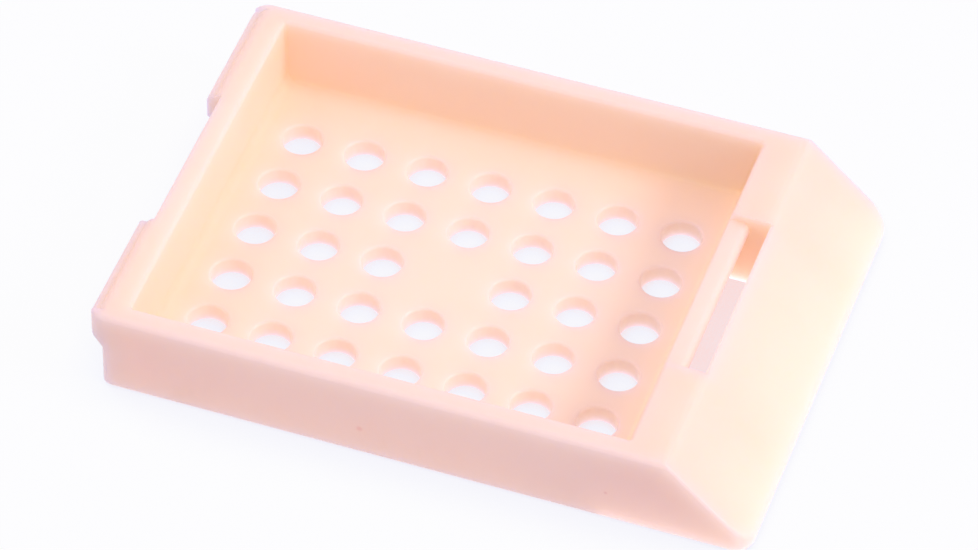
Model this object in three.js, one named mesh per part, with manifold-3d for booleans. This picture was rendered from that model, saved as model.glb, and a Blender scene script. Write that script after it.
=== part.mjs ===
// Tissue cassette base, moulded in one piece: a shallow tray with a perforated floor, a sloped
// writing face at one end with the slot for a lid's tab behind it, and two hinge lugs at the other.
//
// Millimetres, +Z up. +X points to the writing face and the lugs are at -X. The origin lies in the
// plane of the underside, below the middle of the bounding box.

import * as THREE from 'three';
import { mergeVertices } from 'three/addons/utils/BufferGeometryUtils.js';
import Module from 'manifold-3d';

const wasm = await Module();
wasm.setup();

// Overall
const LENGTH = 40.9; // tips of the lugs to the foot of the writing face
const WIDTH = 28.5;
const HEIGHT = 5.88;

// Walls and floor
const FLOOR = 1.14;
const SIDE_WALL = 1.35; // long walls, at the rim
const REAR_WALL = 1.47; // end wall on the lug side, at the rim
const FRONT_WALL = 0.85; // leaning wall between the tray and the hollow of the writing end
const ROOF = 1.25; // flat top over that hollow
const FACE_PLATE = 1.2; // sloped plate of the writing face
const BAY_RIB = 1.0; // ribs that part the hollow into three bays
const DRAFT = 0.02; // how much a drafted wall moves for each millimetre of height
const FRONT_LEAN = 1.2; // tray's front wall: its foot stands this far behind its top
const BAY_DRAFT = 0.08; // end walls of the bays open downwards by this much a millimetre

// Writing end
const FACE_RUN = 5.25; // writing face, measured along the table
const FACE_FOOT = 0.9; // height of the upright edge below the writing face
const FRONT_LAND = 2.5; // flat top from the tray to the crest of the writing face
const SLOT_LENGTH = 12.9;
const SLOT_WIDTH = 1.3; // open slot just behind the crest
const SLOT_BACK = 0.1; // flat left between the slot and the crest
const SEAT_DROP = 0.5; // the ledge between tray and slot lies this far below the rim

// Hinge lugs
const LUG_REACH = 0.88; // how far the lugs stand out from the end wall
const LUG_LENGTH = 8.65; // each lug, from the side of the cassette inwards
const LUG_FOOT = 3.2; // height at which a lug's sloping underside leaves the wall
const LUG_RISE = 0.6; // height over which that underside slopes out to the lug's face
const LUG_REBATE = 0.45; // the lug's top lies this far below the rim
const REBATE_RUN = 0.4; // the slope from a lug's top up to the rim, measured along the table
const REBATE_END = 0.62; // the rebate stops this far from the side of the cassette

// Holes in the floor
const HOLE_D = 2.48;
const HOLE_PITCH = 4.073;
const HOLE_EDGE_R = 0.15; // rounded upper edge of each hole
const FIRST_HOLE = 2.85; // rear wall of the tray to the middle of the first column
const END_MARGIN = 0.7; // least floor between the last column and the front wall
const SIDE_MARGIN = 3.0; // least floor between the outer rows and the long walls

// Edge radii
const BASE_R = 0.5; // round the underside
const FACE_BASE_R = 0.3; // under the upright foot of the writing face
const RIM_R = 0.35; // outer edge of the rim
const FACE_EDGE_R = 0.2; // edges of the writing face
const LIP_R = 0.25; // inner edge of the rim
const FOOT_R = 0.3; // foot of the tray's walls
const REAR_FOOT_R = 0.8; // foot of the tray's rear wall
const SEAT_R = 0.2; // ledge's edge over the tray
const SLOT_R = 0.4; // ledge's edge over the slot
const SLOT_LIP_R = 0.25; // slot's edge under the crest
const CREST_R = 1.1; // between the flat top and the writing face
const LUG_R = 0.3; // top outer edge of each lug
const LUG_CORNER_R = 1.15; // upright corners at the lugs
const WALL_CORNER_R = 0.4; // upright corners of the end wall below the lugs
const FRONT_CORNER_R = 1.25; // upright corners that the writing face runs out into
const TRAY_CORNER_R = 0.2; // upright corners inside the tray
const BAY_CORNER_R = 0.2;

// How finely the round forms are stepped
const CORNER_STEPS = 4; // even; steps in a quarter circle seen from above
const EDGE_STEPS = 3; // steps in a quarter circle up an edge
const HOLE_SIDES = 16;
const HOLE_EDGE_STEPS = 2;
const CUT_PAST = 1.0; // how far a cutting solid runs past what it cuts
const WELD = 1e-5; // vertices closer than this are one
const SAME_LEVEL = 1e-3; // heights closer than this are one

// Places along X, Y and Z that follow from these
const REAR_X = -LENGTH / 2;
const FRONT_X = LENGTH / 2;
const WALL_X = REAR_X + LUG_REACH;
const CREST_X = FRONT_X - FACE_RUN;
const TRAY_REAR = WALL_X + REAR_WALL;
const TRAY_FRONT = CREST_X - FRONT_LAND;
const HALF_WIDTH = WIDTH / 2;
const TRAY_HALF = HALF_WIDTH - SIDE_WALL;
const BAY_TOP = HEIGHT - ROOF;
const SEAT_Z = HEIGHT - SEAT_DROP;
const SLOPE = Math.atan2(HEIGHT - FACE_FOOT, FACE_RUN);
const ARC_X = CREST_X - CREST_R * Math.tan(SLOPE / 2); // where the flat top starts to round

// Height list of a rounded edge: from its start up to where the upright wall begins.
function edgeLevels(radius, steps = EDGE_STEPS) {
  return Array.from({ length: steps + 1 }, (_, i) => {
    const angle = (i / steps) * (Math.PI / 2);
    return radius * (1 - Math.cos(angle));
  });
}

// How far a wall with a rounded edge stands in, at a given distance from the face it rounds into.
function roundIn(distance, radius) {
  const d = THREE.MathUtils.clamp(distance, 0, radius);
  return radius - Math.sqrt(radius ** 2 - (radius - d) ** 2);
}

// Heights in rising order, with those that fall together taken once.
function sortedLevels(...lists) {
  const all = lists.flat().sort((a, b) => a - b);
  return all.filter((z, i) => i === 0 || z - all[i - 1] > SAME_LEVEL);
}

// Rectangle seen from above with round corners; the rear and front corners have their own radius.
function roundedRectangle({ x0, x1, y0, y1, rear, front }) {
  const quarter = Math.PI / 2;
  const shape = new THREE.Shape();
  shape.absarc(x1 - front, y0 + front, front, -quarter, 0);
  shape.absarc(x1 - front, y1 - front, front, 0, quarter);
  shape.absarc(x0 + rear, y1 - rear, rear, quarter, 2 * quarter);
  shape.absarc(x0 + rear, y0 + rear, rear, 2 * quarter, 3 * quarter);
  return shape.getPoints(CORNER_STEPS / 2);
}

// Loft: the outline that outlineAt gives for each level, joined ring to ring and closed. A ring
// lies flat at its level, or each of its points at the height that heightAt gives.
function stackOutlines(outlineAt, levels, heightAt = (level) => level) {
  const rings = levels.map((level) => roundedRectangle(outlineAt(level)));
  const count = rings[0].length;
  const pointsOf = (ring, level) => ring.flatMap((p) => [p.x, p.y, heightAt(level, p.x)]);
  const positions = rings.flatMap((ring, k) => pointsOf(ring, levels[k]));
  const index = [];
  for (let k = 0; k + 1 < rings.length; k += 1) {
    for (let i = 0; i < count; i += 1) {
      const a = k * count + i;
      const b = k * count + ((i + 1) % count);
      index.push(a, b, b + count, a, b + count, a + count);
    }
  }
  const top = (rings.length - 1) * count;
  for (const [a, b, c] of THREE.ShapeUtils.triangulateShape(rings[0], [])) index.push(c, b, a);
  for (const [a, b, c] of THREE.ShapeUtils.triangulateShape(rings.at(-1), [])) {
    index.push(top + a, top + b, top + c);
  }
  const geometry = new THREE.BufferGeometry();
  geometry.setAttribute('position', new THREE.Float32BufferAttribute(positions, 3));
  geometry.setIndex(index);
  return geometry;
}

// A side profile, drawn with X across and Z up, carried along Y from y0 to y1.
function extrudeAlongY(profile, y0, y1) {
  const geometry = new THREE.ExtrudeGeometry(profile, {
    depth: y1 - y0,
    bevelEnabled: false,
    curveSegments: EDGE_STEPS,
  });
  return geometry.rotateX(Math.PI / 2).translate(0, y1, 0);
}

// three.js geometry to a manifold solid, and back to a geometry.
function toSolid(geometry) {
  geometry.deleteAttribute('normal');
  geometry.deleteAttribute('uv');
  const merged = mergeVertices(geometry, WELD);
  return new wasm.Manifold(
    new wasm.Mesh({
      numProp: 3,
      vertProperties: Float32Array.from(merged.attributes.position.array),
      triVerts: Uint32Array.from(merged.index.array),
    }),
  );
}

function toGeometry(solid) {
  const { vertProperties, triVerts } = solid.getMesh();
  const geometry = new THREE.BufferGeometry();
  geometry.setAttribute('position', new THREE.BufferAttribute(vertProperties, 3));
  geometry.setIndex(new THREE.BufferAttribute(triVerts, 1));
  geometry.computeVertexNormals();
  return geometry;
}

// Share of a lug's reach that its sloping underside has covered at a height.
function lugShareAt(z) {
  return THREE.MathUtils.clamp((z - LUG_FOOT) / LUG_RISE, 0, 1);
}

// Whole outer form but for the slope of the writing face, solid, with both lugs still one bar
// across the end. The upright rear corners are tighter below the lugs than round their ends.
function outerForm() {
  const outlineAt = (z) => {
    const inset = Math.max(roundIn(z, BASE_R), roundIn(HEIGHT - z, RIM_R));
    const rear = THREE.MathUtils.lerp(WALL_CORNER_R, LUG_CORNER_R, lugShareAt(z));
    return {
      x0: WALL_X - LUG_REACH * lugShareAt(z) + inset,
      x1: FRONT_X - roundIn(z, FACE_BASE_R),
      y0: -HALF_WIDTH + inset,
      y1: HALF_WIDTH - inset,
      rear: Math.max(rear - inset, WALL_CORNER_R),
      front: FRONT_CORNER_R - inset,
    };
  };
  const levels = sortedLevels(
    edgeLevels(BASE_R),
    edgeLevels(FACE_BASE_R),
    [LUG_FOOT, LUG_FOOT + LUG_RISE],
    edgeLevels(RIM_R).map((d) => HEIGHT - d),
  );
  return toSolid(stackOutlines(outlineAt, levels));
}

// Plane of the writing face at a height.
function slopeAt(z) {
  return CREST_X + (HEIGHT - z) / Math.tan(SLOPE);
}

// All that lies under the plane of the writing face. Its levels are depths under that plane,
// negative; the outline draws in towards the plane, which rounds the face's edges.
function underWritingFace() {
  const outlineAt = (level) => {
    const inset = level < -FACE_EDGE_R ? -CUT_PAST : roundIn(-level, FACE_EDGE_R);
    return {
      x0: REAR_X - CUT_PAST,
      x1: FRONT_X - inset,
      y0: -HALF_WIDTH + inset,
      y1: HALF_WIDTH - inset,
      rear: FACE_EDGE_R,
      front: FRONT_CORNER_R - inset,
    };
  };
  const heightAt = (level, x) => {
    return HEIGHT + (CREST_X - x) * Math.tan(SLOPE) + level / Math.cos(SLOPE);
  };
  const levels = [-LENGTH, ...edgeLevels(FACE_EDGE_R).map((d) => -d).reverse()];
  return toSolid(stackOutlines(outlineAt, levels, heightAt));
}

// What the round crest takes off the corner between the flat top and the writing face.
function crestCut() {
  const outer = CREST_R + CUT_PAST;
  const outerX = ARC_X + outer * Math.sin(SLOPE);
  const profile = new THREE.Shape();
  profile.moveTo(ARC_X, HEIGHT + CUT_PAST);
  profile.absarc(ARC_X, HEIGHT - CREST_R, CREST_R, Math.PI / 2, Math.PI / 2 - SLOPE, true);
  profile.lineTo(outerX, HEIGHT - CREST_R + outer * Math.cos(SLOPE));
  profile.lineTo(outerX, HEIGHT + CUT_PAST);
  return toSolid(extrudeAlongY(profile, -HALF_WIDTH - CUT_PAST, HALF_WIDTH + CUT_PAST));
}

// Inner face of the tray's front wall, leaning in towards the floor.
function frontWallAt(z) {
  return TRAY_FRONT - (FRONT_LEAN * (HEIGHT - z)) / (HEIGHT - FLOOR);
}

// Inside of the tray: rounded at the foot, drafted, and flared at the rim by the lip's rounding.
function trayCut() {
  const outlineAt = (z) => {
    const lip = roundIn(HEIGHT - z, LIP_R);
    const foot = roundIn(z - FLOOR, FOOT_R);
    const rearFoot = roundIn(z - FLOOR, REAR_FOOT_R);
    const draft = DRAFT * Math.max(HEIGHT - z, 0);
    const half = TRAY_HALF - draft - foot + lip;
    return {
      x0: TRAY_REAR + draft + rearFoot - lip,
      x1: frontWallAt(Math.min(z, HEIGHT)) - foot + lip,
      y0: -half,
      y1: half,
      rear: TRAY_CORNER_R + lip,
      front: TRAY_CORNER_R + lip,
    };
  };
  const levels = sortedLevels(
    edgeLevels(FOOT_R).map((d) => FLOOR + d),
    edgeLevels(REAR_FOOT_R).map((d) => FLOOR + d),
    edgeLevels(LIP_R).map((d) => HEIGHT - d),
    [HEIGHT + CUT_PAST],
  );
  return toSolid(stackOutlines(outlineAt, levels));
}

// One hollow under the writing face, open at the underside, between y0 and y1 at its top.
function bayCut(y0, y1) {
  const plate = FACE_PLATE / Math.sin(SLOPE);
  const outlineAt = (z) => {
    const spread = BAY_DRAFT * (BAY_TOP - z);
    return {
      x0: frontWallAt(z) + FRONT_WALL,
      x1: slopeAt(z) - plate,
      y0: y0 - spread,
      y1: y1 + spread,
      rear: BAY_CORNER_R,
      front: BAY_CORNER_R,
    };
  };
  return toSolid(stackOutlines(outlineAt, [-CUT_PAST, BAY_TOP]));
}

// Three bays: the middle one lies below the slot, and a rib parts it from each outer one.
function bayCuts() {
  const middle = SLOT_LENGTH / 2;
  const spread = BAY_DRAFT * BAY_TOP;
  const inner = middle + BAY_RIB + 2 * spread;
  const outer = HALF_WIDTH - SIDE_WALL - spread;
  return [bayCut(-middle, middle), bayCut(inner, outer), bayCut(-outer, -inner)];
}

// Height of the rounding between the flat top and the writing face.
function crestAt(x) {
  return HEIGHT - CREST_R + Math.sqrt(CREST_R ** 2 - (x - ARC_X) ** 2);
}

// Slot for the lid's tab, with the lowered ledge between it and the tray.
function slotCut() {
  const inTray = TRAY_FRONT - CUT_PAST;
  const ledgeX = frontWallAt(SEAT_Z - SEAT_R);
  const slotEnd = CREST_X - SLOT_BACK;
  const slotX = slotEnd - SLOT_WIDTH;
  const slotBottom = slotFloor();
  const lipEnd = slotEnd + SLOT_LIP_R;
  const profile = new THREE.Shape();
  profile.moveTo(inTray, SEAT_Z - SEAT_R);
  profile.lineTo(ledgeX, SEAT_Z - SEAT_R);
  profile.absarc(ledgeX + SEAT_R, SEAT_Z - SEAT_R, SEAT_R, Math.PI, Math.PI / 2, true);
  profile.absarc(slotX - SLOT_R, SEAT_Z - SLOT_R, SLOT_R, Math.PI / 2, 0, true);
  profile.lineTo(slotX, slotBottom);
  profile.lineTo(slotEnd, slotBottom);
  profile.lineTo(slotEnd, crestAt(slotEnd) - SLOT_LIP_R);
  profile.quadraticCurveTo(slotEnd, crestAt(slotEnd), lipEnd, crestAt(lipEnd));
  profile.lineTo(lipEnd, HEIGHT + CUT_PAST);
  profile.lineTo(inTray, HEIGHT + CUT_PAST);
  return toSolid(extrudeAlongY(profile, -SLOT_LENGTH / 2, SLOT_LENGTH / 2));
}

// The slot's cut ends where the inner face of the writing plate has passed below the crest.
function slotFloor() {
  const plateDrop = FACE_PLATE / Math.cos(SLOPE);
  return HEIGHT - Math.max(plateDrop, ROOF) - SLOT_R;
}

// The gap that makes two lugs of the bar, down to where their undersides leave the wall.
function lugGapCut(y0, y1) {
  const profile = new THREE.Shape();
  profile.moveTo(REAR_X - CUT_PAST, LUG_FOOT);
  profile.lineTo(WALL_X, LUG_FOOT);
  profile.absarc(WALL_X + RIM_R, HEIGHT - RIM_R, RIM_R, Math.PI, Math.PI / 2, true);
  profile.lineTo(WALL_X + RIM_R, HEIGHT + CUT_PAST);
  profile.lineTo(REAR_X - CUT_PAST, HEIGHT + CUT_PAST);
  return toSolid(extrudeAlongY(profile, y0, y1));
}

// The rebate over a lug: its round outer edge, its flat top, and the slope that rounds onto the rim.
function lugRebateCut(y0, y1) {
  const top = HEIGHT - LUG_REBATE;
  const slopeFoot = WALL_X - REBATE_RUN;
  const profile = new THREE.Shape();
  profile.moveTo(REAR_X - CUT_PAST, top - LUG_R);
  profile.lineTo(REAR_X, top - LUG_R);
  profile.absarc(REAR_X + LUG_R, top - LUG_R, LUG_R, Math.PI, Math.PI / 2, true);
  profile.lineTo(slopeFoot, top);
  profile.lineTo((slopeFoot + WALL_X) / 2, (top + HEIGHT) / 2);
  profile.quadraticCurveTo(WALL_X, HEIGHT, WALL_X + RIM_R, HEIGHT);
  profile.lineTo(WALL_X + RIM_R, HEIGHT + CUT_PAST);
  profile.lineTo(REAR_X - CUT_PAST, HEIGHT + CUT_PAST);
  return toSolid(extrudeAlongY(profile, y0, y1));
}

function lugCuts() {
  const lugEnd = HALF_WIDTH - LUG_LENGTH;
  const rebateEnd = HALF_WIDTH - REBATE_END;
  return [
    lugGapCut(-lugEnd, lugEnd),
    lugRebateCut(lugEnd, rebateEnd),
    lugRebateCut(-rebateEnd, -lugEnd),
  ];
}

// One hole: a straight bore whose upper edge is rounded out into the floor.
function holeCut(x, y) {
  const radius = HOLE_D / 2;
  const edge = Array.from({ length: HOLE_EDGE_STEPS + 1 }, (_, i) => {
    const angle = (i / HOLE_EDGE_STEPS) * (Math.PI / 2);
    const out = HOLE_EDGE_R * (1 - Math.cos(angle));
    return new THREE.Vector2(radius + out, FLOOR - HOLE_EDGE_R * (1 - Math.sin(angle)));
  });
  const profile = [
    new THREE.Vector2(0, -CUT_PAST),
    new THREE.Vector2(radius, -CUT_PAST),
    ...edge,
    new THREE.Vector2(radius + HOLE_EDGE_R, FLOOR + CUT_PAST),
    new THREE.Vector2(0, FLOOR + CUT_PAST),
  ];
  const geometry = new THREE.LatheGeometry(profile, HOLE_SIDES);
  return toSolid(geometry.rotateX(Math.PI / 2).translate(x, y, 0));
}

// Square grid of holes over the floor; the middle of the grid has none.
function holeCuts() {
  const firstX = TRAY_REAR + FIRST_HOLE;
  const floorEnd = frontWallAt(FLOOR) - END_MARGIN - HOLE_D / 2;
  const columns = Math.floor((floorEnd - firstX) / HOLE_PITCH) + 1;
  const rows = Math.floor((2 * (TRAY_HALF - SIDE_MARGIN) - HOLE_D) / HOLE_PITCH) + 1;
  const cuts = [];
  for (let column = 0; column < columns; column += 1) {
    for (let row = 0; row < rows; row += 1) {
      const middle = 2 * column === columns - 1 && 2 * row === rows - 1;
      const x = firstX + column * HOLE_PITCH;
      const y = (row - (rows - 1) / 2) * HOLE_PITCH;
      if (!middle) cuts.push(holeCut(x, y));
    }
  }
  return cuts;
}

function cassetteBase() {
  const cuts = [
    crestCut(),
    trayCut(),
    ...bayCuts(),
    slotCut(),
    ...lugCuts(),
    ...holeCuts(),
  ];
  const whole = outerForm().intersect(underWritingFace());
  const solid = cuts.reduce((body, cut) => body.subtract(cut), whole);
  const material = new THREE.MeshStandardMaterial({
    color: 0xf6cdb9,
    roughness: 0.5,
    metalness: 0,
    flatShading: true,
  });
  const mesh = new THREE.Mesh(toGeometry(solid), material);
  mesh.name = 'cassette_base';
  return mesh;
}

const cassette = new THREE.Group();
cassette.add(cassetteBase());

export default cassette;
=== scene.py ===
"""Tissue cassette base: fine moulded surface, acetal finish and studio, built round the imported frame.

Metres, +Z up, in the frame's own axes: +X points to the writing face, the hinge lugs are at -X and
the underside lies at Z = 0. The overall sizes come from the frame, the rest are the panel's sizes.
"""

import math

import bmesh
import bpy
import numpy as np
from bpy.props import FloatProperty, IntProperty, PointerProperty, StringProperty
from bpy.types import Operator, Panel, PropertyGroup
from mathutils import Matrix, Vector


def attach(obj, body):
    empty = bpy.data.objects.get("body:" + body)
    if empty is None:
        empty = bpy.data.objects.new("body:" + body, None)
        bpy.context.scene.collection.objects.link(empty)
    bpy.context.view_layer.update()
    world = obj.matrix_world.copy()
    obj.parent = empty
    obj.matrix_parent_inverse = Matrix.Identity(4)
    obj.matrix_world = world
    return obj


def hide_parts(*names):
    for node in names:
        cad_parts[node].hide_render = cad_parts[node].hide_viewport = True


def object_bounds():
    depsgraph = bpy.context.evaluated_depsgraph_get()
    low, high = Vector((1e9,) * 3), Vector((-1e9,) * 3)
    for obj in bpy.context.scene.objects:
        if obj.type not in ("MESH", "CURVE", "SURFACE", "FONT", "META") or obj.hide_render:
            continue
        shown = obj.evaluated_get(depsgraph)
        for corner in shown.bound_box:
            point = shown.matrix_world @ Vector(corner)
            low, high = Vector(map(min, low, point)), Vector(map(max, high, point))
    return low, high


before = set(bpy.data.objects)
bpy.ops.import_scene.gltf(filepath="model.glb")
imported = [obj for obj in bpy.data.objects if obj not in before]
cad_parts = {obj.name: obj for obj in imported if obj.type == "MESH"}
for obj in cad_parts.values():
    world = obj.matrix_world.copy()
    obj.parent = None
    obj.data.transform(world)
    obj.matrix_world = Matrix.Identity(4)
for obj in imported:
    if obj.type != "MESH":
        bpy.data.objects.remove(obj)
cad_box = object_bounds()

bl_info = {
    "name": "Tissue Cassette Base",
    "version": (1, 0, 0),
    "blender": (4, 5, 0),
    "location": "3D View > Sidebar > Cassette",
    "description": "Moulded tissue cassette base with its acetal finish and a small studio",
    "category": "Add Mesh",
}

NODE = "cassette_base"
MM = 0.001
CUT_PAST = 1.0 * MM  # how far a cutting solid runs past what it cuts
SAME_LEVEL = 1e-6  # heights closer than this are one
SHARP = math.radians(35)  # an edge that turns more than this is sharp
SLIGHT = math.radians(3)  # round the underside an edge is sharp past this, so its shading stays flat
SATIN_SPREAD = 0.03  # how far the roughness strays from its middle with the flow marks
GRAIN_DEPTH = 0.004 * MM
SKY_SAMPLES = 4  # rays that find how open the table lies
TABLE_REACH = 0.6  # table's edge from the middle


def length(name, description, millimetres):
    """A size that a user can change, stored in metres and given here in millimetres."""
    return FloatProperty(
        name=name, description=description, default=millimetres * MM, unit="LENGTH", precision=5
    )


def angle(name, description, degrees):
    """An angle property whose default is given in degrees."""
    return FloatProperty(name=name, description=description, default=math.radians(degrees), subtype="ANGLE")


def tint(name, description, value):
    """A colour that a user can change, as an sRGB hex value."""
    return StringProperty(name=name, description=description, default=value, maxlen=7)


# Sizes and colours -----------------------------------------------------------------------------


class CassetteWalls(PropertyGroup):
    """Thickness and lean of the walls and the floor."""

    floor: length("Floor", "Thickness of the perforated floor", 1.14)
    side_wall: length("Side Wall", "Long walls at the rim", 1.35)
    rear_wall: length("Rear Wall", "End wall on the lug side, at the rim", 1.47)
    front_wall: length("Front Wall", "Leaning wall between tray and writing end", 0.85)
    roof: length("Roof", "Flat top over the hollow writing end", 1.25)
    face_plate: length("Face Plate", "Sloped plate of the writing face", 1.2)
    bay_rib: length("Bay Rib", "Ribs that part the hollow into bays", 1.0)
    front_lean: length("Front Lean", "Foot of the tray's front wall stands this far behind its top", 1.2)
    draft: FloatProperty(name="Draft", description="Run of a drafted wall for its height", default=0.02)
    bay_draft: FloatProperty(
        name="Bay Draft", description="Spread of a bay's ends for its height", default=0.08
    )


class CassetteWritingEnd(PropertyGroup):
    """Writing face, the slot behind it and the ledge beside the slot."""

    face_run: length("Face Run", "Writing face measured along the table", 5.25)
    face_foot: length("Face Foot", "Upright edge below the writing face", 0.9)
    land: length("Land", "Flat top from the tray to the crest", 2.5)
    slot_length: length("Slot Length", "Slot for the lid's tab, across the cassette", 12.9)
    slot_width: length("Slot Width", "Slot along the cassette", 1.3)
    slot_back: length("Slot Back", "Flat between the slot and the crest", 0.1)
    seat_drop: length("Seat Drop", "Ledge between tray and slot below the rim", 0.5)


class CassetteLugs(PropertyGroup):
    """Two hinge lugs on the rear wall."""

    reach: length("Reach", "How far the lugs stand out from the end wall", 0.88)
    span: length("Length", "Each lug, from the side of the cassette inwards", 8.65)
    foot: length("Foot", "Height at which the sloping underside leaves the wall", 3.2)
    rise: length("Rise", "Height over which the underside slopes out", 0.6)
    rebate: length("Rebate", "Lug's top below the rim", 0.45)
    rebate_run: length("Rebate Run", "Slope from the lug's top up to the rim", 0.4)
    rebate_end: length("Rebate End", "Rebate stops this far from the side", 0.62)


class CassetteHoles(PropertyGroup):
    """Square grid of round holes in the floor."""

    diameter: length("Diameter", "Straight bore of a hole", 2.48)
    pitch: length("Pitch", "Middle to middle, both ways", 4.073)
    edge: length("Edge Radius", "Rounded upper edge of a hole", 0.15)
    first: length("First Column", "Rear wall of the tray to the first column", 2.85)
    end_margin: length("End Margin", "Least floor between the last column and the front wall", 0.7)
    side_margin: length("Side Margin", "Least floor between the outer rows and the long walls", 3.0)
    sides: IntProperty(name="Sides", description="Facets round a hole", default=56, min=12)


class CassetteEdges(PropertyGroup):
    """Radii of the moulded edges and how finely they are stepped."""

    base: length("Base", "Round the underside", 0.5)
    face_base: length("Face Base", "Under the upright foot of the writing face", 0.3)
    rim: length("Rim", "Outer edge of the rim", 0.35)
    face_edge: length("Face Edge", "Edges of the writing face", 0.2)
    lip: length("Lip", "Inner edge of the rim", 0.25)
    foot: length("Foot", "Foot of the tray's walls", 0.3)
    rear_foot: length("Rear Foot", "Foot of the tray's rear wall", 0.8)
    seat: length("Seat", "Ledge's edge over the tray", 0.2)
    slot: length("Slot", "Ledge's edge over the slot", 0.4)
    slot_lip: length("Slot Lip", "Slot's edge under the crest", 0.25)
    crest: length("Crest", "Between the flat top and the writing face", 1.1)
    lug: length("Lug", "Top outer edge of each lug", 0.3)
    lug_corner: length("Lug Corner", "Upright corners at the lugs", 1.15)
    wall_corner: length("Wall Corner", "Upright corners of the end wall below the lugs", 0.4)
    front_corner: length("Front Corner", "Upright corners at the writing face", 1.25)
    tray_corner: length("Tray Corner", "Upright corners inside the tray", 0.2)
    bay_corner: length("Bay Corner", "Upright corners inside the bays", 0.2)
    worn: length("Small Edge", "Every edge that has no radius of its own", 0.07)
    corner_steps: IntProperty(
        name="Corner Steps", description="Steps in a quarter seen from above", default=12
    )
    edge_steps: IntProperty(name="Edge Steps", description="Steps in a quarter up an edge", default=8)


class AcetalFinish(PropertyGroup):
    """Look of the moulded acetal."""

    body: tint("Body", "Colour of the resin", "#FFDFC8")
    flow: tint("Flow", "Colour of the faint flow marks", "#FFDBC3")
    scatter: length("Scatter Depth", "How far light travels inside the wall", 3.0)
    grain: length("Grain", "Size of the mould's spark-eroded grain", 0.14)
    cloud: length("Cloud", "Size of the faint flow marks", 3.5)
    roughness: FloatProperty(name="Roughness", description="Satin of the mould's finish", default=0.42)
    # Painted colour of two small spots on the near wall: painted shade of a small dimple, and a darker
    # speck.
    mark: tint("Mark", "Colour in the two small marks on the near wall", "#F3C9B4")
    # Place and size of the painted shade of a small dimple in the near wall.
    dimple_shade_along: length("Shaded Spot Along", "Shaded spot on the near wall, along the cassette", -3.4)
    dimple_shade_height: length("Shaded Spot Height", "Shaded spot above the table", 2.2)
    dimple_shade_size: length("Shaded Spot Size", "Across the dull spot", 0.6)
    speck_along: length("Speck Along", "Speck on the near wall, along the cassette", 11.7)
    speck_height: length("Speck Height", "Speck above the table", 2.3)
    speck_size: length("Speck Size", "Across the speck", 0.35)


class StudioSettings(PropertyGroup):
    """Table, lamps and even light."""

    table: tint("Table", "Colour of the table top", "#B6C0E7")
    # Painted light and shade: pink painted on the table where the object shuts it in, for light that has
    # come through the resin.
    under: tint("Under", "What the table shows where the resin shuts it in", "#FFD9D3")
    # Painted shade: lavender painted on the table at the bottom of the holes.
    hollow: tint("Hollow", "What the table shows at the bottom of a hole", "#F2F4FF")
    backdrop: FloatProperty(
        name="Backdrop", description="Share of the table that shows as plain white", default=0.96
    )
    shut_in: length("Shut-In Reach", "How near the object stands where it shuts the table in", 8.0)
    glow: FloatProperty(name="Glow", description="Light from below under the tray", default=0.66)
    bay_glow: FloatProperty(name="Bay Glow", description="Light from below under the bays", default=1.08)
    open_glow: FloatProperty(
        name="Open Glow", description="Light from below where the table lies open", default=0.15
    )
    glow_tint: tint("Glow Tint", "Colour of the light from below", "#FFE8ED")
    sky: FloatProperty(name="Sky", description="Even light from all round", default=0.79)
    sky_tint: tint("Sky Tint", "Colour of the even light", "#FFE8FE")
    key: FloatProperty(name="Key", description="Softbox at the writing end, in watts", default=1.37)
    key_tint: tint("Key Tint", "Colour of the key softbox", "#FFE8E5")
    fill: FloatProperty(name="Fill", description="Softbox at the lug end, in watts", default=0.70)
    fill_tint: tint("Fill Tint", "Colour of the fill softbox", "#FFE8FF")


class StudioCamera(PropertyGroup):
    """Long lens that looks down on the near long wall, the writing end to the right."""

    turn: angle("Turn", "Round the upright axis, from straight in front", 18.21)
    tip: angle("Tip", "Down from level", 45.8355)
    roll: angle("Roll", "Round the line of sight", 1.2083)
    aside: length("Aside", "Middle of the view to the right of the origin", -0.2838)
    above: length("Above", "Middle of the view above the origin, square to the line of sight", 1.6981)
    away: length("Away", "Camera to the origin along the line of sight", 356.88)
    focal: FloatProperty(
        name="Focal Length", description="In millimetres, on a 36 mm sensor", default=219.03
    )


class CassetteProject(PropertyGroup):
    """All the sizes and colours of the scene."""

    walls: PointerProperty(type=CassetteWalls)
    face: PointerProperty(type=CassetteWritingEnd)
    lugs: PointerProperty(type=CassetteLugs)
    holes: PointerProperty(type=CassetteHoles)
    edges: PointerProperty(type=CassetteEdges)
    finish: PointerProperty(type=AcetalFinish)
    studio: PointerProperty(type=StudioSettings)
    camera: PointerProperty(type=StudioCamera)


# Surfaces --------------------------------------------------------------------------------------


def edge_levels(radius, steps):
    """Heights of a rounded edge: radius times one less the cosine of equal steps of a quarter turn."""
    return radius * (1.0 - np.cos(np.linspace(0.0, math.pi / 2, steps + 1)))


def round_in(distance, radius):
    """How far a wall with a rounded edge stands in, at a distance from the face it rounds into:
    the gap between a quarter circle and its upright tangent."""
    across = radius - np.clip(distance, 0.0, radius)
    return radius - np.sqrt(np.maximum(radius**2 - across**2, 0.0))


def rising(*levels):
    """All the heights in rising order, with those that fall together taken once."""
    heights = np.sort(np.concatenate([np.atleast_1d(part) for part in levels]))
    return heights[np.concatenate([[True], np.diff(heights) > SAME_LEVEL])]


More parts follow.
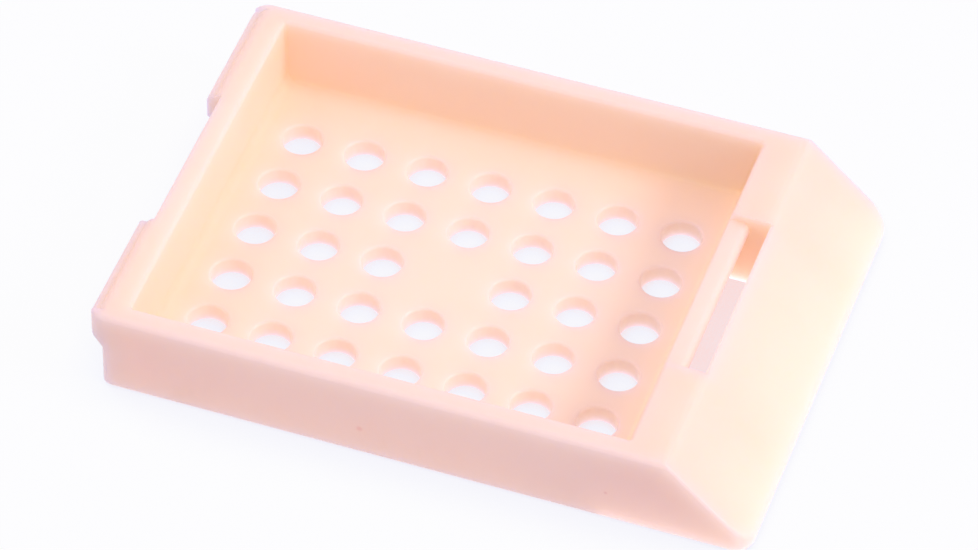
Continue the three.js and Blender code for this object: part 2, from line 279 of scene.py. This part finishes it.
def rounded_rings(x0, x1, y0, y1, rear, front, z, steps):
    """One ring of points for each height z: a rectangle with quarter circles for corners, each the
    corner's centre plus its radius times the cosine and sine of equal steps of a quarter turn."""
    x0, x1, y0, y1, rear, front, z = np.broadcast_arrays(x0, x1, y0, y1, rear, front, z)
    quarter = np.linspace(0.0, math.pi / 2, steps + 1)
    turn = quarter + np.arange(-1, 3)[:, None] * math.pi / 2
    radius = np.stack([front, front, rear, rear], axis=1)[..., None]
    middle_x = np.stack([x1 - front, x1 - front, x0 + rear, x0 + rear], axis=1)[..., None]
    middle_y = np.stack([y0 + front, y1 - front, y1 - rear, y0 + rear], axis=1)[..., None]
    x = middle_x + radius * np.cos(turn)
    y = middle_y + radius * np.sin(turn)
    height = np.broadcast_to(z[:, None, None], x.shape)
    return np.stack([x, y, height], axis=-1).reshape(len(z), -1, 3)


def arc(x, z, radius, start, end, steps):
    """Points of an arc in the side view: its centre plus the radius times cosine and sine."""
    angle = np.linspace(start, end, steps + 1)
    return np.stack([x + radius * np.cos(angle), z + radius * np.sin(angle)], axis=1)


def carried(profile, y0, y1):
    """A side profile of X and Z carried straight along Y, as two rings."""
    points = np.concatenate(profile) if isinstance(profile, list) else profile
    near, far = (np.insert(points, 1, y, axis=1) for y in (y0, y1))
    return np.stack([near, far])


def loft(rings):
    """Vertices and faces of rings joined one to the next, with a flat face over each end. Vertex k
    of ring r is joined to vertex k + 1 of its own ring and to both of these on the next ring."""
    count, around = rings.shape[:2]
    here = np.arange(count - 1)[:, None] * around + np.arange(around)
    beside = np.arange(count - 1)[:, None] * around + np.roll(np.arange(around), -1)
    walls = np.stack([here, beside, beside + around, here + around], axis=-1).reshape(-1, 4)
    bottom = np.arange(around)[::-1]
    top = np.arange(around) + (count - 1) * around
    return rings.reshape(-1, 3), walls.tolist() + [bottom.tolist(), top.tolist()]


def solid(name, *lofts):
    """An object that holds one closed solid for each loft, faces outwards."""
    points, faces, start = [], [], 0
    for rings in lofts:
        some_points, some_faces = loft(rings)
        points.append(some_points)
        faces += [[start + corner for corner in face] for face in some_faces]
        start += len(some_points)
    mesh = bpy.data.meshes.new(name)
    mesh.from_pydata(np.concatenate(points).tolist(), [], faces)
    shape = bmesh.new()
    shape.from_mesh(mesh)
    bmesh.ops.recalc_face_normals(shape, faces=shape.faces)
    shape.to_mesh(mesh)
    shape.free()
    made = bpy.data.objects.new(name, mesh)
    bpy.context.scene.collection.objects.link(made)
    return made


def carve(body, bound, *cutters):
    """Keeps what of the body lies inside the bound, takes the cutters out of it, and settles the
    result into the body's mesh."""
    for cutter in (bound, *cutters):
        modifier = body.modifiers.new(cutter.name, "BOOLEAN")
        modifier.operation = "INTERSECT" if cutter is bound else "DIFFERENCE"
        modifier.solver = "MANIFOLD"
        modifier.object = cutter
    bpy.context.view_layer.update()
    settled = bpy.data.meshes.new_from_object(body.evaluated_get(bpy.context.evaluated_depsgraph_get()))
    body.modifiers.clear()
    plain = body.data
    body.data = settled
    for mesh in [plain, bound.data, *(cutter.data for cutter in cutters)]:
        bpy.data.meshes.remove(mesh)


# The moulding ----------------------------------------------------------------------------------


class Layout:
    """Places along X, Y and Z that follow from the frame's box and the sizes."""

    def __init__(self, project):
        walls, face, lugs = project.walls, project.face, project.lugs
        low, high = (np.array(corner) for corner in cad_box)
        self.rear = low[0]
        self.front = high[0]
        self.half = high[1]
        self.height = high[2]
        self.wall = self.rear + lugs.reach
        self.crest = self.front - face.face_run
        self.tray_rear = self.wall + walls.rear_wall
        self.tray_front = self.crest - face.land
        self.tray_half = self.half - walls.side_wall
        self.bay_top = self.height - walls.roof
        self.seat = self.height - face.seat_drop
        self.slope = math.atan2(self.height - face.face_foot, face.face_run)
        self.lean = walls.front_lean / (self.height - walls.floor)
        self.arc = self.crest - project.edges.crest * math.tan(self.slope / 2)

    def front_wall(self, z):
        """Inner face of the tray's front wall, a straight line that leans in towards the floor."""
        return self.tray_front - self.lean * (self.height - z)

    def crest_height(self, x, radius):
        """Rounding of the crest: a circle of that radius below the flat top."""
        return self.height - radius + np.sqrt(radius**2 - (x - self.arc) ** 2)

    def writing_face(self, z):
        """Plane of the writing face: from the crest down by the slope's tangent."""
        return self.crest + (self.height - z) / math.tan(self.slope)


def outer_form(project, at):
    """Outside of the cassette before the writing face is cut, with both lugs still one bar: a
    rounded rectangle whose sides stand in by the base's and the rim's rounding at each height."""
    edges, lugs = project.edges, project.lugs
    steps = edges.edge_steps
    z = rising(
        edge_levels(edges.base, steps),
        edge_levels(edges.face_base, steps),
        [lugs.foot, lugs.foot + lugs.rise],
        at.height - edge_levels(edges.rim, steps),
    )
    inset = np.maximum(round_in(z, edges.base), round_in(at.height - z, edges.rim))
    share = np.clip((z - lugs.foot) / lugs.rise, 0.0, 1.0)
    rear = edges.wall_corner + (edges.lug_corner - edges.wall_corner) * share
    return rounded_rings(
        x0=at.wall - lugs.reach * share + inset,
        x1=at.front - round_in(z, edges.face_base),
        y0=inset - at.half,
        y1=at.half - inset,
        rear=np.maximum(rear - inset, edges.wall_corner),
        front=edges.front_corner - inset,
        z=z,
        steps=edges.corner_steps,
    )


def under_writing_face(project, at):
    """All that lies under the plane of the writing face. Each ring is a rounded rectangle laid on a
    plane parallel to the face, at a depth under it: z = height + (crest - x) tan(slope) - depth /
    cos(slope). The rings draw in towards the face by its edges' rounding."""
    edges = project.edges
    rounding = edge_levels(edges.face_edge, edges.edge_steps)[::-1]
    depth = np.concatenate([[at.front - at.rear], rounding])
    inset = np.concatenate([[-CUT_PAST], round_in(rounding, edges.face_edge)])
    rings = rounded_rings(
        x0=at.rear - CUT_PAST,
        x1=at.front - inset,
        y0=inset - at.half,
        y1=at.half - inset,
        rear=edges.face_edge,
        front=edges.front_corner - inset,
        z=-depth / math.cos(at.slope),
        steps=edges.corner_steps,
    )
    rings[..., 2] += at.height + (at.crest - rings[..., 0]) * math.tan(at.slope)
    return rings


def crest_corner(project, at):
    """What the round crest takes off the corner between the flat top and the writing face."""
    radius, steps = project.edges.crest, project.edges.corner_steps
    outer = radius + CUT_PAST
    outer_x = at.arc + outer * math.sin(at.slope)
    profile = [
        [[at.arc, at.height + CUT_PAST]],
        arc(at.arc, at.height - radius, radius, math.pi / 2, math.pi / 2 - at.slope, steps),
        [[outer_x, at.height - radius + outer * math.cos(at.slope)]],
        [[outer_x, at.height + CUT_PAST]],
    ]
    return carried(profile, -at.half - CUT_PAST, at.half + CUT_PAST)


def tray_hollow(project, at):
    """Inside of the tray: rounded at the foot, drafted, flared at the rim by the lip's rounding."""
    walls, edges = project.walls, project.edges
    steps = edges.edge_steps
    z = rising(
        walls.floor + edge_levels(edges.foot, steps),
        walls.floor + edge_levels(edges.rear_foot, steps),
        at.height - edge_levels(edges.lip, steps),
        at.height + CUT_PAST,
    )
    lip = round_in(at.height - z, edges.lip)
    foot = round_in(z - walls.floor, edges.foot)
    rear_foot = round_in(z - walls.floor, edges.rear_foot)
    draft = walls.draft * np.maximum(at.height - z, 0.0)
    half = at.tray_half - draft - foot + lip
    return rounded_rings(
        x0=at.tray_rear + draft + rear_foot - lip,
        x1=at.front_wall(np.minimum(z, at.height)) - foot + lip,
        y0=-half,
        y1=half,
        rear=edges.tray_corner + lip,
        front=edges.tray_corner + lip,
        z=z,
        steps=edges.corner_steps,
    )


def bay_hollows(project, at):
    """Three hollows below the writing face, open at the underside. The middle one lies below the
    slot. Their ends spread downwards by the bays' draft."""
    walls, corner = project.walls, project.edges.bay_corner
    plate = walls.face_plate / math.sin(at.slope)
    middle = project.face.slot_length / 2
    spread = walls.bay_draft * at.bay_top
    inner = middle + walls.bay_rib + 2 * spread
    outer = at.half - walls.side_wall - spread
    z = np.array([-CUT_PAST, at.bay_top])
    return [
        rounded_rings(
            x0=at.front_wall(z) + walls.front_wall,
            x1=at.writing_face(z) - plate,
            y0=y0 - walls.bay_draft * (at.bay_top - z),
            y1=y1 + walls.bay_draft * (at.bay_top - z),
            rear=corner,
            front=corner,
            z=z,
            steps=project.edges.corner_steps // 2,
        )
        for y0, y1 in ((-middle, middle), (inner, outer), (-outer, -inner))
    ]


def quadratic(start, bend, end, steps):
    """Points of a quadratic curve: (1 - t)^2 start + 2 t (1 - t) bend + t^2 end."""
    t = np.linspace(0.0, 1.0, steps + 1)[:, None]
    return (1 - t) ** 2 * np.array(start) + 2 * t * (1 - t) * np.array(bend) + t**2 * np.array(end)


def slot_hollow(project, at):
    """Slot for the lid's tab, with the lowered ledge between it and the tray. Its edge under the
    crest turns along a quadratic curve onto the crest's rounding."""
    face, walls, edges = project.face, project.walls, project.edges
    seat, slot, lip, steps = edges.seat, edges.slot, edges.slot_lip, edges.edge_steps
    in_tray = at.tray_front - CUT_PAST
    ledge = at.front_wall(at.seat - seat)
    slot_end = at.crest - face.slot_back
    slot_start = slot_end - face.slot_width
    bottom = at.height - max(walls.face_plate / math.cos(at.slope), walls.roof) - slot
    lip_x = slot_end + lip
    over_slot, over_lip = at.crest_height(np.array([slot_end, lip_x]), edges.crest)
    profile = [
        [[in_tray, at.seat - seat]],
        arc(ledge + seat, at.seat - seat, seat, math.pi, math.pi / 2, steps),
        arc(slot_start - slot, at.seat - slot, slot, math.pi / 2, 0.0, steps),
        [[slot_start, bottom], [slot_end, bottom]],
        quadratic([slot_end, over_slot - lip], [slot_end, over_slot], [lip_x, over_lip], steps),
        [[lip_x, at.height + CUT_PAST], [in_tray, at.height + CUT_PAST]],
    ]
    return carried(profile, -face.slot_length / 2, face.slot_length / 2)


def lug_gap(project, at):
    """The gap that makes two lugs of the bar, down to where their undersides leave the wall."""
    radius = project.edges.rim
    outside = at.rear - CUT_PAST
    foot = project.lugs.foot
    profile = [
        [[outside, foot], [at.wall, foot]],
        arc(at.wall + radius, at.height - radius, radius, math.pi, math.pi / 2, project.edges.edge_steps),
        [[at.wall + radius, at.height + CUT_PAST], [outside, at.height + CUT_PAST]],
    ]
    half = at.half - project.lugs.span
    return carried(profile, -half, half)


def lug_rebates(project, at):
    """The rebate over each lug: its round outer edge, its flat top, and a slope that turns onto
    the rim along a quadratic curve."""
    lugs, edges = project.lugs, project.edges
    top = at.height - lugs.rebate
    outside = at.rear - CUT_PAST
    slope_foot = at.wall - lugs.rebate_run
    half_up = [(slope_foot + at.wall) / 2, (top + at.height) / 2]
    on_rim = [at.wall + edges.rim, at.height]
    profile = [
        [[outside, top - edges.lug]],
        arc(at.rear + edges.lug, top - edges.lug, edges.lug, math.pi, math.pi / 2, edges.edge_steps),
        [[slope_foot, top]],
        quadratic(half_up, [at.wall, at.height], on_rim, edges.edge_steps),
        [[at.wall + edges.rim, at.height + CUT_PAST], [outside, at.height + CUT_PAST]],
    ]
    inner, outer = at.half - lugs.span, at.half - lugs.rebate_end
    return [carried(profile, inner, outer), carried(profile, -outer, -inner)]


def hole_middles(project, at):
    """Middles of the holes on a square grid over the floor; the middle of the grid has none."""
    holes, walls = project.holes, project.walls
    first = at.tray_rear + holes.first
    floor_end = at.front_wall(walls.floor) - holes.end_margin - holes.diameter / 2
    columns = int((floor_end - first) / holes.pitch) + 1
    across = 2 * (at.tray_half - holes.side_margin) - holes.diameter
    rows = int(across / holes.pitch) + 1
    column, row = np.meshgrid(np.arange(columns), np.arange(rows) - (rows - 1) / 2, indexing="ij")
    kept = (2 * column != columns - 1) | (row != 0)
    return np.stack([first + column[kept] * holes.pitch, row[kept] * holes.pitch], axis=1)


def hole_bores(project, at):
    """One solid for each hole: a circle at each height, straight through the floor and rounded out
    by the edge's radius at its top."""
    holes, floor = project.holes, project.walls.floor
    edge = edge_levels(holes.edge, project.edges.edge_steps)[::-1]
    z = np.concatenate([[-CUT_PAST], floor - edge, [floor + CUT_PAST]])
    radius = holes.diameter / 2 + round_in(floor - z, holes.edge)
    angle = np.arange(holes.sides) * 2 * math.pi / holes.sides
    circle = np.stack([np.cos(angle), np.sin(angle)], axis=1)
    rings = np.zeros((len(z), holes.sides, 3))
    rings[..., :2] = radius[:, None, None] * circle
    rings[..., 2] = z[:, None]
    return [rings + [x, y, 0.0] for x, y in hole_middles(project, at)]


def finish_edges(body, project, at):
    """Small radius on every sharp edge, and shading that keeps the flat faces flat. The edges that
    lie on the table or on the ceiling of the bays face down, and are left sharp."""
    mesh = body.data
    slight, sharp = (np.zeros(len(mesh.edges), bool) for _ in range(2))
    for turn, found in ((SLIGHT, slight), (SHARP, sharp)):
        mesh.set_sharp_from_angle(angle=turn)
        mesh.attributes["sharp_edge"].data.foreach_get("value", found)
    ends = np.zeros(2 * len(mesh.edges), np.int32)
    mesh.edges.foreach_get("vertices", ends)
    places = np.zeros(3 * len(mesh.vertices), np.float32)
    mesh.vertices.foreach_get("co", places)
    height = places[2::3][ends].reshape(-1, 2)
    on_table = (height < SAME_LEVEL).all(axis=1)
    mesh.attributes["sharp_edge"].data.foreach_set("value", sharp | (slight & on_table))
    for level in (0.0, at.bay_top):
        sharp &= (np.abs(height - level) > SAME_LEVEL).any(axis=1)
    weight = mesh.attributes.new("bevel_weight_edge", "FLOAT", "EDGE")
    weight.data.foreach_set("value", sharp.astype(np.float32))
    bevel = body.modifiers.new("Small edges", "BEVEL")
    bevel.width = project.edges.worn
    bevel.segments = 2
    bevel.limit_method = "WEIGHT"
    bevel.use_clamp_overlap = True
    normals = body.modifiers.new("Flat faces", "WEIGHTED_NORMAL")
    normals.keep_sharp = True


class CASSETTE_OT_moulding(Operator):
    """Mould the cassette base: the outside, then each hollow, slot and hole taken out of it"""

    bl_idname = "cassette.moulding"
    bl_label = "Moulded Base"
    bl_options = {"REGISTER", "UNDO"}

    def execute(self, context):
        project = context.scene.cassette
        at = Layout(project)
        body = solid("cassette_moulding", outer_form(project, at))
        carve(
            body,
            solid("under_face", under_writing_face(project, at)),
            solid("crest", crest_corner(project, at)),
            solid("tray", tray_hollow(project, at)),
            solid("bays", *bay_hollows(project, at)),
            solid("slot", slot_hollow(project, at)),
            solid("lug_gap", lug_gap(project, at)),
            solid("lug_rebates", *lug_rebates(project, at)),
            solid("holes", *hole_bores(project, at)),
        )
        if len(body.data.polygons) == 0:
            raise RuntimeError("the moulding came out empty")
        body.data.materials.clear()
        body.data.materials.append(moulded_acetal(project.finish))
        body.data.shade_smooth()
        finish_edges(body, project, at)
        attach(body, "root")
        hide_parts(NODE)
        return {"FINISHED"}


# Materials -------------------------------------------------------------------------------------


def linear(hex_value, alpha=1.0):
    """A hex sRGB colour as linear red, green, blue and alpha."""
    channels = [int(hex_value[i : i + 2], 16) / 255 for i in (1, 3, 5)]
    return (*(c / 12.92 if c <= 0.04045 else ((c + 0.055) / 1.055) ** 2.4 for c in channels), alpha)


def add(tree, kind, inputs=None, **settings):
    """Adds a node with its settings. An input given as a socket is linked, any other is a constant."""
    made = tree.nodes.new(kind)
    for name, value in settings.items():
        setattr(made, name, value)
    for name, value in (inputs or {}).items():
        if isinstance(value, bpy.types.NodeSocket):
            tree.links.new(value, made.inputs[name])
        else:
            made.inputs[name].default_value = value
    return made


def new_material(name):
    """An empty node material and its tree."""
    material = bpy.data.materials.new(name)
    material.use_nodes = True
    material.node_tree.nodes.clear()
    return material, material.node_tree


def round_mark(tree, place, middle, across):
    """1 in the middle of a small round mark, falling in a smooth step to 0 at its edge."""
    centred = add(
        tree, "ShaderNodeMapping", {"Vector": place, "Location": [-value for value in middle]}
    ).outputs["Vector"]
    distance = add(tree, "ShaderNodeVectorMath", {0: centred}, operation="LENGTH").outputs["Value"]
    return add(
        tree,
        "ShaderNodeMapRange",
        {"Value": distance, "From Max": across / 2, "To Min": 1.0, "To Max": 0.0},
        interpolation_type="SMOOTHSTEP",
    ).outputs["Result"]


def moulded_acetal(finish):
    """Acetal, injection moulded in a spark-eroded mould: an even satin skin with a very fine grain,
    slightly cloudy colour, light that soaks a little into the thin walls and warms them, and two
    small darker spots on the near wall: painted shade of a small dimple, and a darker speck. The
    grain is drawn coarser than a real one, so that it shows."""
    material, tree = new_material("moulded_acetal")
    place = add(tree, "ShaderNodeTexCoord").outputs["Object"]
    cloud = add(
        tree,
        "ShaderNodeTexNoise",
        {"Vector": place, "Scale": 1 / finish.cloud, "Detail": 3.0, "Roughness": 0.5},
    )
    grain = add(
        tree,
        "ShaderNodeTexNoise",
        {"Vector": place, "Scale": 1 / finish.grain, "Detail": 2.0, "Roughness": 0.5},
    )
    colour = add(
        tree,
        "ShaderNodeMix",
        {"Factor": cloud.outputs["Fac"], "A": linear(finish.body), "B": linear(finish.flow)},
        data_type="RGBA",
    )
    near = cad_box[0][1]
    dimple_shade_at = (finish.dimple_shade_along, near, finish.dimple_shade_height)
    speck_at = (finish.speck_along, near, finish.speck_height)
    # Painted shade of a small dimple, and a small darker speck.
    dimple_shade = round_mark(tree, place, dimple_shade_at, finish.dimple_shade_size)
    speck = round_mark(tree, place, speck_at, finish.speck_size)
    marks = add(tree, "ShaderNodeMath", {0: dimple_shade, 1: speck}, operation="MAXIMUM")
    colour = add(
        tree,
        "ShaderNodeMix",
        {"Factor": marks.outputs["Value"], "A": colour.outputs["Result"], "B": linear(finish.mark)},
        data_type="RGBA",
    )
    smoothest, roughest = finish.roughness - SATIN_SPREAD, finish.roughness + SATIN_SPREAD
    rough = add(
        tree,
        "ShaderNodeMapRange",
        {"Value": cloud.outputs["Fac"], "To Min": smoothest, "To Max": roughest},
    )
    bump = add(
        tree,
        "ShaderNodeBump",
        {"Height": grain.outputs["Fac"], "Strength": 0.25, "Distance": GRAIN_DEPTH},
    )
    shader = add(
        tree,
        "ShaderNodeBsdfPrincipled",
        {
            "Base Color": colour.outputs["Result"],
            "Roughness": rough.outputs["Result"],
            "IOR": 1.48,
            "Subsurface Weight": 1.0,
            "Subsurface Radius": (1.3, 1.3, 1.0),
            "Subsurface Scale": finish.scatter,
            "Normal": bump.outputs["Normal"],
        },
        subsurface_method="RANDOM_WALK",
    )
    add(tree, "ShaderNodeOutputMaterial", {"Surface": shader.outputs["BSDF"]})
    return material


def seen_plainly(tree):
    """1 for a ray that shows the background: straight from the camera, or by gloss or glass."""
    path = add(tree, "ShaderNodeLightPath")
    gloss = add(
        tree,
        "ShaderNodeMath",
        {0: path.outputs["Is Camera Ray"], 1: path.outputs["Is Glossy Ray"]},
        operation="MAXIMUM",
    )
    return add(
        tree,
        "ShaderNodeMath",
        {0: gloss.outputs["Value"], 1: path.outputs["Is Transmission Ray"]},
        operation="MAXIMUM",
    ).outputs["Value"]


def opal_acrylic(studio, bays_from):
    """Opal acrylic table top, lit a little from below: matt, and mostly plain white where it is
    seen, so that only the object's soft shadow shows on it. How open the table lies is worked out
    from how much the object hides of the space above each point. Where it is shut in, it gives more
    light, most of all past the line where the bays start, and where it is seen it shows painted
    light and shade: pink where the object shuts it in, lavender at the bottom of the holes."""
    material, tree = new_material("opal_acrylic")
    place = add(tree, "ShaderNodeTexCoord").outputs["Object"]
    along = add(tree, "ShaderNodeSeparateXYZ", {"Vector": place}).outputs["X"]
    in_bays = add(tree, "ShaderNodeMath", {0: along, 1: bays_from}, operation="GREATER_THAN")
    shut_in_glow = add(
        tree,
        "ShaderNodeMix",
        {"Factor": in_bays.outputs["Value"], "A": studio.glow, "B": studio.bay_glow},
        data_type="FLOAT",
    )
    matt = add(tree, "ShaderNodeBsdfDiffuse", {"Color": linear(studio.table)})
    open_sky = add(
        tree, "ShaderNodeAmbientOcclusion", {"Distance": studio.shut_in}, samples=SKY_SAMPLES
    ).outputs["AO"]
    from_below = add(
        tree,
        "ShaderNodeMapRange",
        {"Value": open_sky, "To Min": shut_in_glow.outputs["Result"], "To Max": studio.open_glow},
    )
    spread = add(
        tree,
        "ShaderNodeMath",
        {0: add(tree, "ShaderNodeLightPath").outputs["Is Diffuse Ray"], 1: from_below.outputs["Result"]},
        operation="MULTIPLY",
    )
    glow = add(
        tree,
        "ShaderNodeEmission",
        {"Color": linear(studio.glow_tint), "Strength": spread.outputs["Value"]},
    )
    lit = add(tree, "ShaderNodeAddShader", {0: matt.outputs["BSDF"], 1: glow.outputs["Emission"]})
    # Painted light and shade on the table where it is seen: pink where the object shuts it in, lavender at
    # the bottom of the holes, plain white where it lies open.
    plain = add(tree, "ShaderNodeValToRGB", {"Fac": open_sky})
    painted_shade_by_openness = (
        (0.16, studio.under),
        (0.26, studio.hollow),
        (0.47, studio.hollow),
        (0.56, "#FFFFFF"),
    )
    while len(plain.color_ramp.elements) < len(painted_shade_by_openness):
        plain.color_ramp.elements.new(0.5)
    for element, (openness, colour) in zip(plain.color_ramp.elements, painted_shade_by_openness):
        element.position = openness
        element.color = linear(colour)
    # Shows the ramp's colours where the table is seen: painted light and shade, and plain white in the
    # open.
    white = add(tree, "ShaderNodeEmission", {"Color": plain.outputs["Color"], "Strength": 1.0})
    shown = add(tree, "ShaderNodeMath", {0: seen_plainly(tree), 1: studio.backdrop}, operation="MULTIPLY")
    mixed = add(
        tree,
        "ShaderNodeMixShader",
        {0: shown.outputs["Value"], 1: lit.outputs["Shader"], 2: white.outputs["Emission"]},
    )
    add(tree, "ShaderNodeOutputMaterial", {"Surface": mixed.outputs["Shader"]})
    return material


# Stage -----------------------------------------------------------------------------------------


def studio_world(studio):
    """Even light from all round, which shows as plain white behind the object."""
    world = bpy.data.worlds.new("studio_world")
    world.use_nodes = True
    tree = world.node_tree
    tree.nodes.clear()
    light = add(tree, "ShaderNodeBackground", {"Color": linear(studio.sky_tint), "Strength": studio.sky})
    white = add(tree, "ShaderNodeBackground", {"Color": (1.0, 1.0, 1.0, 1.0), "Strength": 1.0})
    mixed = add(
        tree,
        "ShaderNodeMixShader",
        {0: seen_plainly(tree), 1: light.outputs["Background"], 2: white.outputs["Background"]},
    )
    add(tree, "ShaderNodeOutputWorld", {"Surface": mixed.outputs["Shader"]})
    bpy.context.scene.world = world


def softbox(name, direction, distance, size, watts, colour):
    """A square area lamp that shines on the object from a direction."""
    lamp = bpy.data.lights.new(name, "AREA")
    lamp.shape = "SQUARE"
    lamp.size = size
    lamp.energy = watts
    lamp.color = linear(colour)[:3]
    made = bpy.data.objects.new(name, lamp)
    back = Vector(direction).normalized()
    turned = back.to_track_quat("Z", "Y").to_matrix().to_4x4()
    made.matrix_world = Matrix.Translation(back * distance) @ turned
    bpy.context.scene.collection.objects.link(made)


def place_camera(view):
    """The camera's axes are worked out from its turn and tip: right = (cos turn, sin turn, 0), back =
    (sin turn cos tip, -cos turn cos tip, sin tip), up = back x right, then both turned by the roll."""
    right = np.array([math.cos(view.turn), math.sin(view.turn), 0.0])
    level = np.array([math.sin(view.turn), -math.cos(view.turn), 0.0])
    back = math.cos(view.tip) * level + math.sin(view.tip) * np.array([0.0, 0.0, 1.0])
    up = np.cross(back, right)
    across = math.cos(view.roll) * right + math.sin(view.roll) * up
    upright = -math.sin(view.roll) * right + math.cos(view.roll) * up
    lens = bpy.data.cameras.new("camera")
    lens.sensor_width = 36.0
    lens.lens = view.focal
    lens.clip_start = 0.01
    made = bpy.data.objects.new("camera", lens)
    turned = Matrix(np.stack([across, upright, back], axis=1).tolist()).to_4x4()
    place = view.aside * across + view.above * upright + view.away * back
    made.matrix_world = Matrix.Translation(Vector(place)) @ turned
    bpy.context.scene.collection.objects.link(made)
    bpy.context.scene.camera = made


class CASSETTE_OT_studio(Operator):
    """Set up the table, the lamps, the even light and the camera"""

    bl_idname = "cassette.studio"
    bl_label = "Studio"
    bl_options = {"REGISTER", "UNDO"}

    def execute(self, context):
        project = context.scene.cassette
        studio = project.studio
        table = bpy.data.meshes.new("table")
        square = TABLE_REACH * np.array([[-1, -1, 0], [1, -1, 0], [1, 1, 0], [-1, 1, 0]])
        table.from_pydata(square.tolist(), [], [[0, 1, 2, 3]])
        table.materials.append(opal_acrylic(studio, Layout(project).front_wall(0.0)))
        floor = bpy.data.objects.new("table", table)
        context.scene.collection.objects.link(floor)
        studio_world(studio)
        softbox(
            "key",
            direction=(1.0, 0.07, 0.7),
            distance=0.5,
            size=0.12,
            watts=studio.key,
            colour=studio.key_tint,
        )
        softbox(
            "fill",
            direction=(-1.0, 0.2, 0.8),
            distance=0.6,
            size=0.5,
            watts=studio.fill,
            colour=studio.fill_tint,
        )
        place_camera(project.camera)
        context.scene.view_settings.view_transform = "Standard"
        return {"FINISHED"}


class CASSETTE_PT_panel(Panel):
    """Sizes and colours of the cassette, and the operators that build it"""

    bl_idname = "CASSETTE_PT_panel"
    bl_label = "Tissue Cassette"
    bl_space_type = "VIEW_3D"
    bl_region_type = "UI"
    bl_category = "Cassette"

    def draw(self, context):
        project = context.scene.cassette
        for title, part in (
            ("Walls", "walls"),
            ("Writing end", "face"),
            ("Lugs", "lugs"),
            ("Holes", "holes"),
            ("Edges", "edges"),
            ("Finish", "finish"),
            ("Studio", "studio"),
            ("Camera", "camera"),
        ):
            box = self.layout.box()
            box.label(text=title)
            group = getattr(project, part)
            for name in group.__annotations__:
                box.prop(group, name)
        self.layout.operator(CASSETTE_OT_moulding.bl_idname)
        self.layout.operator(CASSETTE_OT_studio.bl_idname)


CLASSES = (
    CassetteWalls,
    CassetteWritingEnd,
    CassetteLugs,
    CassetteHoles,
    CassetteEdges,
    AcetalFinish,
    StudioSettings,
    StudioCamera,
    CassetteProject,
    CASSETTE_OT_moulding,
    CASSETTE_OT_studio,
    CASSETTE_PT_panel,
)


def register():
    for made in CLASSES:
        bpy.utils.register_class(made)
    bpy.types.Scene.cassette = PointerProperty(type=CassetteProject)


def unregister():
    del bpy.types.Scene.cassette
    for made in reversed(CLASSES):
        bpy.utils.unregister_class(made)


def main():
    """Builds the whole scene."""
    register()
    bpy.ops.cassette.moulding()
    bpy.ops.cassette.studio()


if __name__ == "__main__":
    main()
